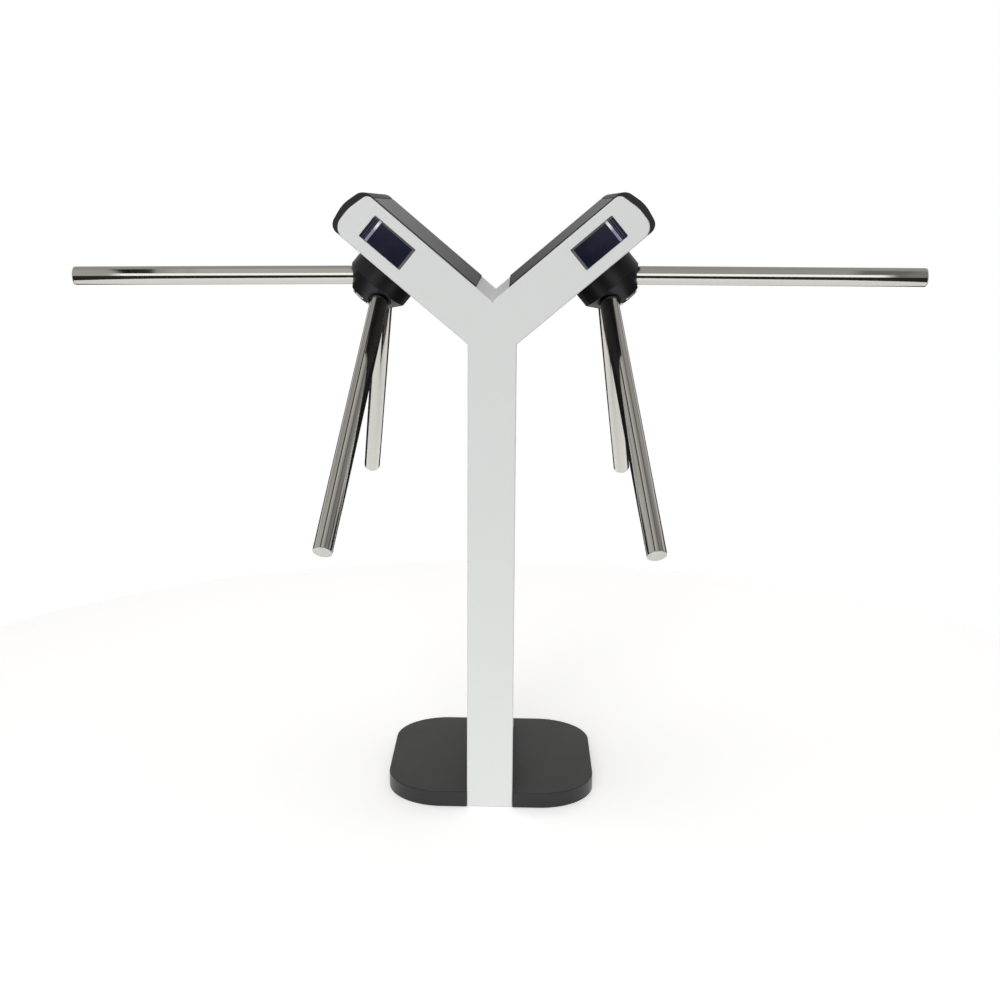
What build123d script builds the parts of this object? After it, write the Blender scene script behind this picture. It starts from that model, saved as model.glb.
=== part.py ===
"""Visitor counter turnstile: a Y-shaped pillar with a three-bar rotor under each arm.

Millimetres, +Z up, the visitor side faces -Y, and the origin is the centre of the base on
the floor. Pieces of the head are drawn once, in the arm frame (X up the arm, Y across it,
Z out of its top face, origin on the V) or in the hub frame (the same directions, origin
where the rotor axis leaves the arm's underside), and then placed on both arms.
"""

from math import cos, radians, sin, tan
import os

from build123d import *

os.makedirs("parts", exist_ok=True)

# Pillar and arms
column_width = 80
body_depth = 355
arm_angle = 40
arm_thickness = 79
vertex_height = 884
panel_thickness = 4
panel_foot_gap = 1.5
skin_thickness = 2
panel_edge_radius = 2.5

# Base
base_width = 371
base_height = 28.5
base_corner = 100
base_plate_thickness = 10
cover_wall = 3
anchor_spacing_x = 260
anchor_spacing_y = 230
anchor_hole_radius = 6.5
inlet_radius = 15

# Arm ends, as distances up the arm and heights above its top face; corners add a radius
seam_station = 35.5
lid_end_station = 252
skin_end_station = 236
lid_rise = 2
lid_sheet = 2
lid_skirt = 12
panel_end = ((262, 0, 12), (272, -37, 60), (271, -arm_thickness, 22))
cap_end = ((272.5, lid_rise, 20), (284, -38, 60), (277.5, -arm_thickness, 17))
cap_wall = 3

# Display, on the right arm's front face
window_station = 189.5
window_lift = -38
window_length = 85
window_height = 42
light_offset = 29.2
light_width = 4.6

# Rotor
hub_station = 167.5
hub_radius = 57.6
hub_gap = 2
hub_band_end = 38.8
hub_length = 71
hub_nose_radius = 31
apex_drop = 17.5
bar_angle = 49.7
bar_radius = 16
bar_wall = 1.5
bar_start = 26
bar_length = 551
plug_flange = 2
socket_rim = 4
socket_depth = 6
hub_bolt_circle = 30

# Mechanism, as heights above the arm's underside
plate_bottom = 10
plate_top = 16
bearing_radius = 27.5
bearing_width = 13
lower_bearing = 6
upper_bearing = 33
shaft_radius = 15
gear_bottom = 49
gear_top = 57
gear_module = 1.5
gear_teeth = 72
pinion_teeth = 24
disc_bottom = 60
disc_top = 64
disc_radius = 65
notch_count = 12
pawl_pivot = (55, 64)
pawl_bottom = 58
pawl_thickness = 8
solenoid_height = 62
housing_bolt_circle = 38
gusset_inner = 140
gusset_thickness = 6

# Values that follow
half_width = column_width / 2
panel_inner = body_depth / 2 - panel_thickness
fit_depth = panel_inner - 0.3
slope_sin = sin(radians(arm_angle))
slope_cos = cos(radians(arm_angle))
slope_tan = tan(radians(arm_angle))
gusset_outer = gusset_inner + gusset_thickness
gear_pitch = gear_module * gear_teeth / 2
pinion_pitch = gear_module * pinion_teeth / 2
pinion_offset = gear_pitch + pinion_pitch
reach = sin(radians(bar_angle))
drop = cos(radians(bar_angle))
socket_face = hub_radius * reach + (hub_band_end - apex_drop) * drop


def arm_point(station, lift):
    """A point of the right arm in the XZ plane."""
    return (station * slope_cos - lift * slope_sin,
            vertex_height + station * slope_sin + lift * slope_cos)


def slope_height(x, lift):
    """Height of the line that runs parallel to the arm's top face, above a given x."""
    return vertex_height + x * slope_tan + lift / slope_cos


def arm_plane(side, station=0, lift=0):
    """Frame on one arm: X up the arm, Z out of its top face."""
    along = Vector(side * slope_cos, 0, slope_sin)
    out = Vector(-side * slope_sin, 0, slope_cos)
    origin = Vector(0, 0, vertex_height) + along * station + out * lift
    return Plane(origin=origin, x_dir=along, z_dir=out)


def window_plane(depth):
    """Frame on the right arm's front face at the middle of its display, Z to the front."""
    x, z = arm_point(window_station, window_lift)
    return Plane(origin=(x, -depth, z), x_dir=(slope_cos, 0, slope_sin), z_dir=(0, -1, 0))


arm_frames = {"left": arm_plane(-1), "right": arm_plane(1)}
hub_frames = {side: arm_plane(sign, hub_station, -arm_thickness)
              for side, sign in (("left", -1), ("right", 1))}


def export(part, name):
    part.label = name
    export_step(part, f"parts/{name}.step")


def export_each(part, frames, name):
    """One node per arm."""
    for side, frame in frames.items():
        export(frame.location * part, f"{side}_{name}")


def export_both(part, frames, name):
    """One node that holds the piece of both arms."""
    export(Compound([frame.location * part for frame in frames.values()]), name)


def export_mirrored(part, name):
    """One node that holds a front-face piece and its mirror image."""
    export(Compound([part, part.mirror(Plane.YZ)]), name)


def post(radius, bottom, top, mode=Mode.ADD):
    """A round post along the current Z between two heights."""
    with Locations((0, 0, bottom)):
        Cylinder(radius, top - bottom, align=(Align.CENTER, Align.CENTER, Align.MIN), mode=mode)


def cross_post(x, z, radius, start, end, mode=Mode.ADD):
    """A round post along Y between two depths."""
    with Locations(Location((x, start, z), (-90, 0, 0))):
        Cylinder(radius, end - start, align=(Align.CENTER, Align.CENTER, Align.MIN), mode=mode)


def block(x_range, y_range, z_range, mode=Mode.ADD):
    """A box given by its extent along each axis."""
    sizes = [high - low for low, high in (x_range, y_range, z_range)]
    with Locations((x_range[0], y_range[0], z_range[0])):
        Box(*sizes, align=(Align.MIN, Align.MIN, Align.MIN), mode=mode)


# ---------------------------------------------------------------- base
with BuildPart() as base_plate:
    with BuildSketch():
        RectangleRounded(base_width - 8, body_depth - 8, base_corner - 4)
        with GridLocations(anchor_spacing_x, anchor_spacing_y, 2, 2):
            Circle(anchor_hole_radius, mode=Mode.SUBTRACT)
        Circle(inlet_radius + 5, mode=Mode.SUBTRACT)
    extrude(amount=base_plate_thickness)
    with Locations(Location((0, 0, 0), (180, 0, 0))):
        with GridLocations(44, 100, 2, 4):
            CounterSinkHole(radius=6.2, counter_sink_radius=12.2)
export(base_plate.part, "base_plate")

with BuildPart() as base_screw:
    with BuildSketch(Plane.XZ):
        Polygon((0, 0.5), (11.5, 0.5), (6, 6), (6, 24), (0, 24), align=None)
    revolve(axis=Axis.Z)
with BuildPart() as base_screws:
    with GridLocations(44, 100, 2, 4):
        add(base_screw.part)
export(base_screws.part, "base_screws")

with BuildPart() as right_base_cover:
    with BuildSketch(Plane.XY.offset(1)):
        RectangleRounded(base_width, body_depth, base_corner)
    extrude(amount=base_height - 1)
    fillet(right_base_cover.faces().sort_by(Axis.Z)[-1].edges(), 1.5)
    with BuildSketch(Plane.XY.offset(1)):
        RectangleRounded(base_width - 2 * cover_wall, body_depth - 2 * cover_wall, base_corner - cover_wall)
    extrude(amount=base_height - 1 - cover_wall, mode=Mode.SUBTRACT)
    split(bisect_by=Plane.YZ.offset(half_width + 0.4))
export(right_base_cover.part, "right_base_cover")
export(right_base_cover.part.mirror(Plane.YZ), "left_base_cover")

with BuildPart() as inlet_grommet:
    with BuildSketch(Plane.XZ):
        Polygon((15, 1), (20, 1), (20, 10), (24, 10), (24, 13), (15, 13), align=None)
    revolve(axis=Axis.Z)
export(inlet_grommet.part, "inlet_grommet")

# ---------------------------------------------------------------- welded frame
post_depth = 50
foot_top = base_plate_thickness + 10
post_top = 780

with BuildPart() as column_frame:
    with BuildSketch(Plane.XY.offset(base_plate_thickness)):
        Rectangle(72, 336)
        Circle(28, mode=Mode.SUBTRACT)
        with GridLocations(44, 100, 2, 4):
            Circle(6, mode=Mode.SUBTRACT)
    extrude(amount=10)
    with BuildSketch(Plane.XY.offset(foot_top)):
        with GridLocations(0, 2 * (gusset_inner - post_depth / 2), 1, 2):
            Rectangle(72, post_depth)
            Rectangle(66, post_depth - 6, mode=Mode.SUBTRACT)
        with GridLocations(44, 100, 2, 4):
            Circle(7, mode=Mode.SUBTRACT)
    extrude(amount=post_top - foot_top)
    for depth in (gusset_inner, -gusset_outer):
        with BuildSketch(Plane.XZ.offset(-depth - gusset_thickness)):
            with BuildLine():
                Polyline((0, 640), (36, 640), (36, slope_height(36, -76)), arm_point(245, -76),
                         arm_point(245, -4), arm_point(225, -4), arm_point(220, -34),
                         arm_point(64, -34), arm_point(58, -4), (0, slope_height(0, -4)), close=True)
            make_face()
            mirror(about=Plane.YZ)
        extrude(amount=gusset_thickness)
    for frame in hub_frames.values():
        with Locations(frame):
            for x in (-45, 45):
                with Locations(Location((x, 0, 26), (90, 0, 0))):
                    Cylinder(4.2, 2 * gusset_outer + 2, mode=Mode.SUBTRACT)
export(column_frame.part, "column_frame")

# ---------------------------------------------------------------- Y panels
def panel_outline():
    """The Y: a pillar, two sloping arms, and arm ends with a soft kink and rounded corners."""
    ends = [arm_point(station, lift) for station, lift, radius in panel_end]
    with BuildSketch() as outline:
        with BuildLine():
            Polyline((0, panel_foot_gap), (half_width, panel_foot_gap),
                     (half_width, slope_height(half_width, -arm_thickness)), *reversed(ends),
                     (0, vertex_height), close=True)
        make_face()
        for station, lift, radius in panel_end:
            corner = Vector(*arm_point(station, lift))
            fillet(outline.vertices().sort_by_distance(corner)[0], radius)
        mirror(about=Plane.YZ)
    return outline.sketch


with BuildPart() as back_panel:
    with BuildSketch(Plane.XZ.offset(-panel_inner)):
        add(panel_outline())
    extrude(amount=-panel_thickness)
    fillet(back_panel.faces().sort_by(Axis.Y)[-1].outer_wire().edges(), panel_edge_radius)
    cross_post(0, vertex_height - 1, 1.3, panel_inner - 1, body_depth, mode=Mode.SUBTRACT)
export(back_panel.part, "back_panel")

with BuildPart() as front_panel:
    with BuildSketch(Plane.XZ.offset(panel_inner)):
        add(panel_outline())
    extrude(amount=panel_thickness)
    fillet(front_panel.faces().sort_by(Axis.Y)[0].outer_wire().edges(), panel_edge_radius)
    cross_post(0, vertex_height - 1, 1.3, -body_depth, 1 - panel_inner, mode=Mode.SUBTRACT)
    with BuildSketch(window_plane(panel_inner)):
        RectangleRounded(window_length, window_height, 2)
    cutout = extrude(amount=panel_thickness, mode=Mode.PRIVATE)
    add(cutout, mode=Mode.SUBTRACT)
    mirror(cutout, about=Plane.YZ, mode=Mode.SUBTRACT)
export(front_panel.part, "front_panel")

# ---------------------------------------------------------------- skins, saddle, lids, caps
with BuildPart() as right_side_skin:
    with BuildSketch(Plane.XZ):
        with BuildLine():
            inner = half_width - skin_thickness
            floor = skin_thickness - arm_thickness
            Polyline((inner, base_plate_thickness), (half_width, base_plate_thickness),
                     (half_width, slope_height(half_width, -arm_thickness)),
                     arm_point(skin_end_station, -arm_thickness), arm_point(skin_end_station, floor),
                     (inner, slope_height(inner, floor)), close=True)
        make_face()
    extrude(amount=fit_depth, both=True)
    with Locations(hub_frames["right"]):
        Cylinder(24, 3 * skin_thickness, mode=Mode.SUBTRACT)
export(right_side_skin.part, "right_side_skin")
export(right_side_skin.part.mirror(Plane.YZ), "left_side_skin")

saddle_end = seam_station - 0.5
with BuildPart() as saddle_panel:
    with BuildSketch(Plane.XZ):
        with BuildLine():
            Polyline((0, slope_height(0, -1)), arm_point(saddle_end, -1), arm_point(saddle_end, -3),
                     (0, slope_height(0, -3)), close=True)
        make_face()
        mirror(about=Plane.YZ)
    extrude(amount=fit_depth, both=True)
    for depth in (-fit_depth, fit_depth - 2):
        with BuildSketch(Plane.XZ.offset(-depth)):
            with BuildLine():
                Polyline((0, slope_height(0, 0)), arm_point(saddle_end, 0), arm_point(saddle_end, -3),
                         (0, slope_height(0, -3)), close=True)
            make_face()
            mirror(about=Plane.YZ)
        extrude(amount=-2)
    for frame in arm_frames.values():
        with Locations(frame):
            block((saddle_end - 2, saddle_end), (-fit_depth, fit_depth), (-3, 0))
export(saddle_panel.part, "saddle_panel")

lid_length = lid_end_station - seam_station
with BuildPart() as lid:
    with BuildSketch(Plane.XY.offset(lid_rise)):
        with Locations((seam_station + lid_length / 2, 0)):
            Rectangle(lid_length, 2 * fit_depth - 1)
    extrude(amount=-lid_skirt)
    fillet(lid.faces().sort_by(Axis.Z)[-1].edges(), 1.8)
    with BuildSketch(Plane.XY.offset(lid_rise - lid_sheet)):
        with Locations((seam_station + lid_length / 2 - 2, 0)):
            Rectangle(lid_length, 2 * fit_depth - 5)
    extrude(amount=-lid_skirt, mode=Mode.SUBTRACT)
export_each(lid.part, arm_frames, "lid")

cap_start = lid_end_station + 0.5


def cap_profile(inset):
    """Side view of an end cap's nose, shrunk by an inset on its outside."""
    top, middle, low = cap_end
    corners = ((top[0] - inset, top[1] - inset, top[2] - inset),
               (middle[0] - inset, middle[1], middle[2] - inset),
               (low[0] - inset, low[1] + inset, low[2] - inset))
    points = [(station, lift) for station, lift, radius in corners]
    with BuildSketch() as nose:
        with BuildLine():
            Polyline((cap_start, points[0][1]), *points, (cap_start, points[-1][1]), close=True)
        make_face()
        for station, lift, radius in corners:
            fillet(nose.vertices().sort_by_distance((station, lift, 0))[0], radius)
    return nose.sketch


with BuildPart() as end_cap:
    with BuildSketch(Plane.XZ):
        add(cap_profile(0))
    extrude(amount=fit_depth, both=True)
    nose_edges = end_cap.faces().filter_by(Axis.Y).edges().filter_by(lambda edge: edge.center().X > cap_start + 1)
    fillet(nose_edges, 2)
    with BuildSketch(Plane.XZ):
        add(cap_profile(cap_wall))
    extrude(amount=fit_depth - cap_wall, both=True, mode=Mode.SUBTRACT)
    block((skin_end_station + 0.3, cap_start + 1), (-fit_depth, fit_depth),
          (-arm_thickness, cap_wall - arm_thickness))
export_each(end_cap.part, arm_frames, "end_cap")

with BuildPart() as panel_spacers:
    for x, z in ((0, 80), (0, 360)):
        cross_post(x, z, 7, gusset_inner, panel_inner)
        cross_post(x, z, 7, -panel_inner, -gusset_inner)
    for x, z in ((0, 690), (0, 790), arm_point(120, -40), arm_point(215, -70)):
        for sign in ((-1, 1) if x else (1,)):
            cross_post(sign * x, z, 5, gusset_outer, panel_inner)
            cross_post(sign * x, z, 5, -panel_inner, -gusset_outer)
export(panel_spacers.part, "panel_spacers")

with BuildPart() as lid_magnet_set:
    for station in (54, 235):
        for depth in (-143, 143):
            with Locations((station, depth, -4)):
                Cylinder(2.9, 3.3, align=(Align.CENTER, Align.CENTER, Align.MIN))
export_both(lid_magnet_set.part, arm_frames, "lid_magnets")

# ---------------------------------------------------------------- mechanism frame
with BuildPart() as mechanism_plate:
    block((-156, 80), (-gusset_inner, gusset_inner), (plate_bottom, plate_top))
    for low in (-gusset_inner, gusset_inner - 6):
        block((-60, 60), (low, low + 6), (plate_top, plate_top + 20))
    for x in (-45, 45):
        cross_post(x, 26, 4.2, -gusset_inner, gusset_inner, mode=Mode.SUBTRACT)
    post(31.2, plate_bottom, plate_top, mode=Mode.SUBTRACT)
    with PolarLocations(housing_bolt_circle, 4, start_angle=45):
        post(3, plate_bottom, plate_top, mode=Mode.SUBTRACT)
export_both(mechanism_plate.part, hub_frames, "mechanism_plates")

with BuildPart() as bearing_housing:
    post(31, 4, 47)
    post(44, plate_top, plate_top + 8)
    with PolarLocations(housing_bolt_circle, 4, start_angle=45):
        post(3.2, plate_top, plate_top + 8, mode=Mode.SUBTRACT)
    post(23, 4, 47, mode=Mode.SUBTRACT)
    post(bearing_radius, lower_bearing, lower_bearing + bearing_width, mode=Mode.SUBTRACT)
    post(bearing_radius, upper_bearing, 47, mode=Mode.SUBTRACT)
export_both(bearing_housing.part, hub_frames, "bearing_housings")

with BuildPart() as mechanism_screw_set:
    for x in (-45, 45):
        cross_post(x, 26, 4, gusset_inner - 10, gusset_outer)
        cross_post(x, 26, 6.5, gusset_outer, gusset_outer + 7)
        cross_post(x, 26, 4, -gusset_outer, 10 - gusset_inner)
        cross_post(x, 26, 6.5, -gusset_outer - 7, -gusset_outer)
    with PolarLocations(housing_bolt_circle, 4, start_angle=45):
        post(3, plate_bottom, plate_top + 8)
        post(5, plate_top + 8, plate_top + 12)
export_both(mechanism_screw_set.part, hub_frames, "mechanism_screws")

race_wall = 3.2
with BuildPart() as outer_race_set:
    for bottom in (lower_bearing, upper_bearing):
        post(bearing_radius, bottom, bottom + bearing_width)
        post(bearing_radius - race_wall, bottom, bottom + bearing_width, mode=Mode.SUBTRACT)
        with Locations((0, 0, bottom + bearing_width / 2)):
            with PolarLocations(21.25, 12):
                Sphere(2.9)
export_both(outer_race_set.part, hub_frames, "bearing_outer_races")

with BuildPart() as inner_race_set:
    for bottom in (lower_bearing, upper_bearing):
        post(shaft_radius + race_wall, bottom, bottom + bearing_width)
        post(shaft_radius, bottom, bottom + bearing_width, mode=Mode.SUBTRACT)
export_each(inner_race_set.part, hub_frames, "inner_races")

# ---------------------------------------------------------------- rotor
flange_top = -4
flange_bottom = -13
with BuildPart() as rotor_shaft:
    post(39, flange_bottom, flange_top)
    post(18, flange_top, lower_bearing)
    post(shaft_radius, lower_bearing, upper_bearing + bearing_width)
    post(14, upper_bearing + bearing_width, 74)
    with PolarLocations(hub_bolt_circle, 3, start_angle=60):
        with Locations((0, 0, flange_top)):
            CounterSinkHole(radius=4.2, counter_sink_radius=8.2)
export_each(rotor_shaft.part, hub_frames, "rotor_shaft")

with BuildPart() as hub_screw:
    with BuildSketch(Plane.XZ):
        Polygon((0, -4), (8, -4), (4, -8), (4, -30), (0, -30), align=None)
    revolve(axis=Axis.Z)
with BuildPart() as hub_screw_set:
    with PolarLocations(hub_bolt_circle, 3, start_angle=60):
        add(hub_screw.part)
export_each(hub_screw_set.part, hub_frames, "hub_screws")


def bar_plane(azimuth):
    """Frame on one bar's axis: Z out along the bar, origin where the three axes meet."""
    direction = Vector(reach * cos(radians(azimuth)), reach * sin(radians(azimuth)), -drop)
    return Plane(origin=(0, 0, -apex_drop), z_dir=direction)


bar_azimuths = (0, 120, 240)
with BuildPart() as hub:
    with BuildSketch(Plane.XZ):
        Polygon((0, -hub_length), (hub_nose_radius, -hub_length), (hub_radius, -hub_band_end),
                (hub_radius, -hub_gap), (39.5, -hub_gap), (39.5, flange_bottom), (0, flange_bottom), align=None)
    revolve(axis=Axis.Z)
    fillet(hub.edges().filter_by(GeomType.CIRCLE).group_by(Axis.Z)[1], 1.5)
    for azimuth in bar_azimuths:
        with Locations(bar_plane(azimuth)):
            post(bar_radius + 0.02, bar_start, hub_length, mode=Mode.SUBTRACT)
            post(bar_radius + socket_rim, socket_face - socket_depth, hub_length + 20, mode=Mode.SUBTRACT)
    with PolarLocations(hub_bolt_circle, 3, start_angle=60):
        post(4, -30, flange_bottom, mode=Mode.SUBTRACT)
export_each(hub.part, hub_frames, "hub")

with BuildPart() as hub_cap:
    post(27, -hub_length - 4, -hub_length)
    fillet(hub_cap.edges().group_by(Axis.Z)[0], 1.5)
export_each(hub_cap.part, hub_frames, "hub_cap")

tube_end = bar_length - plug_flange
for azimuth in bar_azimuths:
    with BuildPart() as bar:
        with Locations(bar_plane(azimuth)):
            post(bar_radius, bar_start, tube_end)
            post(bar_radius - bar_wall, bar_start, tube_end, mode=Mode.SUBTRACT)
    for side, frame in hub_frames.items():
        placed = frame.location * bar.part
        depth = placed.center().Y
        where = "side" if abs(depth) < 1 else "front" if depth < 0 else "back"
        export(placed, f"{side}_bar_{where}")

with BuildPart() as bar_plug_set:
    for azimuth in bar_azimuths:
        with Locations(bar_plane(azimuth)):
            post(bar_radius - bar_wall, tube_end - 14, tube_end)
            post(bar_radius - 0.4, tube_end, bar_length)
export_each(bar_plug_set.part, hub_frames, "bar_plugs")


def toothed_ring(teeth, bottom, top):
    """A spur gear blank with straight-sided teeth and some backlash."""
    pitch = gear_module * teeth / 2
    half_tooth = gear_module * 3.1416 / 4 - 0.12
    root = pitch - 1.2 * gear_module
    tip = pitch + 0.8 * gear_module
    with BuildPart() as ring:
        with BuildSketch(Plane.XY.offset(bottom)):
            Circle(root)
            with PolarLocations(0, teeth):
                Polygon((root - 1, half_tooth + 0.9), (pitch, half_tooth), (tip, half_tooth - 0.55),
                        (tip, 0.55 - half_tooth), (pitch, -half_tooth), (root - 1, -half_tooth - 0.9),
                        align=None)
        extrude(amount=top - bottom)
    return ring.part


with BuildPart() as drive_gear:
    add(toothed_ring(gear_teeth, gear_bottom, gear_top))
    post(17.5, upper_bearing + bearing_width, gear_bottom)
    post(20, gear_top, disc_bottom)
    post(14, 0, 100, mode=Mode.SUBTRACT)
    with PolarLocations(36, 6):
        post(10, gear_bottom, gear_top, mode=Mode.SUBTRACT)
export_each(drive_gear.part, hub_frames, "drive_gear")

with BuildPart() as index_disc:
    with BuildSketch(Plane.XY.offset(disc_bottom)):
        Circle(disc_radius)
        with PolarLocations(0, notch_count):
            Polygon((57, 4.5), (disc_radius + 1, 6.6), (disc_radius + 1, -6.6), (57, -4.5),
                    align=None, mode=Mode.SUBTRACT)
    extrude(amount=disc_top - disc_bottom)
    post(20, disc_top, disc_top + 8)
    post(14, 0, 100, mode=Mode.SUBTRACT)
export_each(index_disc.part, hub_frames, "index_disc")

# ---------------------------------------------------------------- damper, pawl, solenoid
pinion_turn = 180 / pinion_teeth
with BuildPart() as damper_pinion:
    with Locations(Location((-pinion_offset, 0, 0), (0, 0, pinion_turn))):
        add(toothed_ring(pinion_teeth, gear_bottom, gear_top))
    with Locations((-pinion_offset, 0)):
        post(5, 38, gear_bottom)
export_each(damper_pinion.part, hub_frames, "damper_pinion")

with BuildPart() as damper_body:
    with Locations((-pinion_offset, 0)):
        post(24, plate_top, 44)
        post(5.05, 37, 44, mode=Mode.SUBTRACT)
        block((-34, -20), (-10, 10), (plate_top, plate_top + 4))
export_both(damper_body.part, hub_frames, "damper_bodies")

with BuildPart() as pawl_post:
    with Locations(pawl_pivot):
        post(7, plate_top, 57.7)
        post(4, 57.7, 70)
        post(6.5, 66.3, 67.5)
export_both(pawl_post.part, hub_frames, "pawl_posts")

with BuildPart() as pawl:
    with BuildSketch(Plane.XY.offset(pawl_bottom)):
        with Locations(pawl_pivot):
            Circle(9)
        with BuildLine():
            Polyline((-2.5, 68), (2.5, 68), (3.5, 77), (30, 77), (50, 58), (60, 71), (34, 87), (-5, 87),
                     (-5, 79), (-3.5, 77), close=True)
        make_face()
        with Locations(pawl_pivot):
            Circle(4.05, mode=Mode.SUBTRACT)
    extrude(amount=pawl_thickness)
export_each(pawl.part, hub_frames, "lock_pawl")

with BuildPart() as pawl_spring:
    with BuildLine():
        Helix(pitch=2, height=8, radius=8.4, center=(*pawl_pivot, 46))
    with BuildSketch(Plane(origin=(pawl_pivot[0] + 8.4, pawl_pivot[1], 46), z_dir=(0, 1, 0.04))):
        Circle(0.8)
    sweep()
export_both(pawl_spring.part, hub_frames, "pawl_springs")

plunger_radii = (3, 6, 4)
plunger_steps = (87.8, 90, 92.5, 126)
with BuildPart() as plunger:
    for radius, start, end in zip(plunger_radii, plunger_steps, plunger_steps[1:]):
        cross_post(0, solenoid_height, radius, start, end)
export_each(plunger.part, hub_frames, "lock_plunger")

with BuildPart() as solenoid:
    block((-16, 16), (100, 132), (48, 76))
    block((-16, 16), (104, 130), (plate_top, 48))
    cross_post(0, solenoid_height, 4.3, 99, 129, mode=Mode.SUBTRACT)
export_both(solenoid.part, hub_frames, "solenoids")

with BuildPart() as sensor_fork:
    block((-12, 12), (-80, -58), (51.5, 72))
    block((-13, 13), (-74, -50), (57.7, 66.3), mode=Mode.SUBTRACT)
    block((-12, 12), (-84, -74), (plate_top, 72))
export_both(sensor_fork.part, hub_frames, "sensor_forks")

# ---------------------------------------------------------------- electronics
with BuildPart() as control_board:
    block((-152, -104), (-70, 70), (24, 25.6))
    for x in (-148, -108):
        for y in (-66, 66):
            with Locations((x, y)):
                post(3, plate_top, 24)
    block((-126, -110), (-20, 8), (25.6, 28))
    block((-130, -112), (24, 56), (25.6, 38))
    block((-128, -112), (-60, -34), (25.6, 34))
export_both(control_board.part, hub_frames, "control_boards")

with BuildPart() as display_window:
    with BuildSketch(window_plane(panel_inner - 3)):
        RectangleRounded(window_length - 0.6, window_height - 0.6, 1.7)
    extrude(amount=panel_thickness + 4)
    front_edges = display_window.faces().sort_by(Axis.Y)[0].edges()
    chamfer(front_edges, 0.6)
    with BuildSketch(window_plane(panel_inner - 3)):
        Rectangle(window_length + 8, window_height + 6)
    extrude(amount=2.8)
    with BuildSketch(window_plane(body_depth / 2)):
        with Locations((light_offset, 0)):
            Rectangle(light_width, window_height + 1)
    extrude(amount=2, mode=Mode.SUBTRACT)
    with BuildSketch(window_plane(body_depth / 2)):
        with Locations((light_offset, 0)):
            Rectangle(light_width, window_height - 6)
    extrude(amount=-3, mode=Mode.SUBTRACT)
export_mirrored(display_window.part, "display_windows")

with BuildPart() as status_light:
    with BuildSketch(window_plane(body_depth / 2)):
        with Locations((light_offset, 0)):
            Rectangle(light_width, window_height - 6)
    extrude(amount=-3)
    with BuildSketch(window_plane(body_depth / 2)):
        with Locations((light_offset, 0)):
            Rectangle(light_width, window_height - 2)
    extrude(amount=0.8)
export_mirrored(status_light.part, "status_lights")

with BuildPart() as display_module:
    with BuildSketch(window_plane(panel_inner - 12)):
        Rectangle(80, 40)
    extrude(amount=8.5)
    with BuildSketch(window_plane(panel_inner - 14)):
        Rectangle(88, 44)
    extrude(amount=1.6)
    with BuildSketch(window_plane(panel_inner - 27)):
        with GridLocations(82, 38, 2, 2):
            Circle(2.5)
    extrude(amount=13)
export_mirrored(display_module.part, "display_modules")

with BuildPart() as power_supply:
    block((-26, 26), (-75, 75), (150, 330))
    fillet(power_supply.edges().filter_by(Axis.Z), 1.5)
    block((-30, -26), (-90, 90), (170, 310))
export(power_supply.part, "power_supply")

with BuildPart() as right_harness:
    with BuildLine():
        Line((8, 0, 330), (8, 0, 820))
        TangentArc((8, 0, 820), (43, 0, 861), tangent=(0, 0, 1))
    with BuildSketch(Plane.XY.offset(330)):
        with Locations((8, 0)):
            Circle(4)
    sweep()
export_mirrored(right_harness.part, "wiring_harness")
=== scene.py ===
"""Visitor counter turnstile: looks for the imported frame.

Metres, +Z up, the display side faces -Y. An arm frame has X up the arm, Y across it and Z out
of its top face. A hub frame has the same directions and starts where the rotor axis leaves the
arm's underside. A bar frame has Z out along the bar and starts where the three bars meet.
"""

import math

import bmesh
import bpy
from mathutils import Matrix, Vector


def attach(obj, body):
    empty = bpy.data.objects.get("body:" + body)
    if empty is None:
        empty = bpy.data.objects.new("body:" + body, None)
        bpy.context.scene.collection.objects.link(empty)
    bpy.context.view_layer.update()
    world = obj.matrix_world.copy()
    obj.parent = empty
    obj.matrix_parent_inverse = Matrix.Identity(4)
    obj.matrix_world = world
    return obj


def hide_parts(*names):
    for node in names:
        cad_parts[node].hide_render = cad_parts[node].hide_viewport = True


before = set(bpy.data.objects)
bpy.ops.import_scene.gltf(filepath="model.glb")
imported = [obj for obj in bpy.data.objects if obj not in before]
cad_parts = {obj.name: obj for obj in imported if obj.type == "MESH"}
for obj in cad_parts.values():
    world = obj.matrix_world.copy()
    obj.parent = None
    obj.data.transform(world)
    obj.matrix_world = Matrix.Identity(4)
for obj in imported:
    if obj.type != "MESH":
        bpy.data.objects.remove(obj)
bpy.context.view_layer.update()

SIDES = {"left": -1, "right": 1}
MM = 0.001

# Arms and rotor
ARM_SLOPE = math.radians(40)
VERTEX_HEIGHT = 0.884
ARM_THICKNESS = 79 * MM
HUB_STATION = 167.5 * MM
APEX_DROP = 17.5 * MM
BAR_TILT = math.radians(49.7)
BAR_RADIUS = 16 * MM
BAR_WALL = 1.5 * MM
BAR_START = 26 * MM
BAR_LENGTH = 551 * MM
PLUG_FLANGE = 2 * MM
HUB_RADIUS = 57.6 * MM
HUB_BAND_END = 38.8 * MM
BAR_AZIMUTHS = (0, 120, 240)
PINION_OFFSET = 72 * MM
BAR_REACH = math.sin(BAR_TILT)
BAR_DROP = math.cos(BAR_TILT)
SOCKET_FACE = HUB_RADIUS * BAR_REACH + (HUB_BAND_END - APEX_DROP) * BAR_DROP

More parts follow.
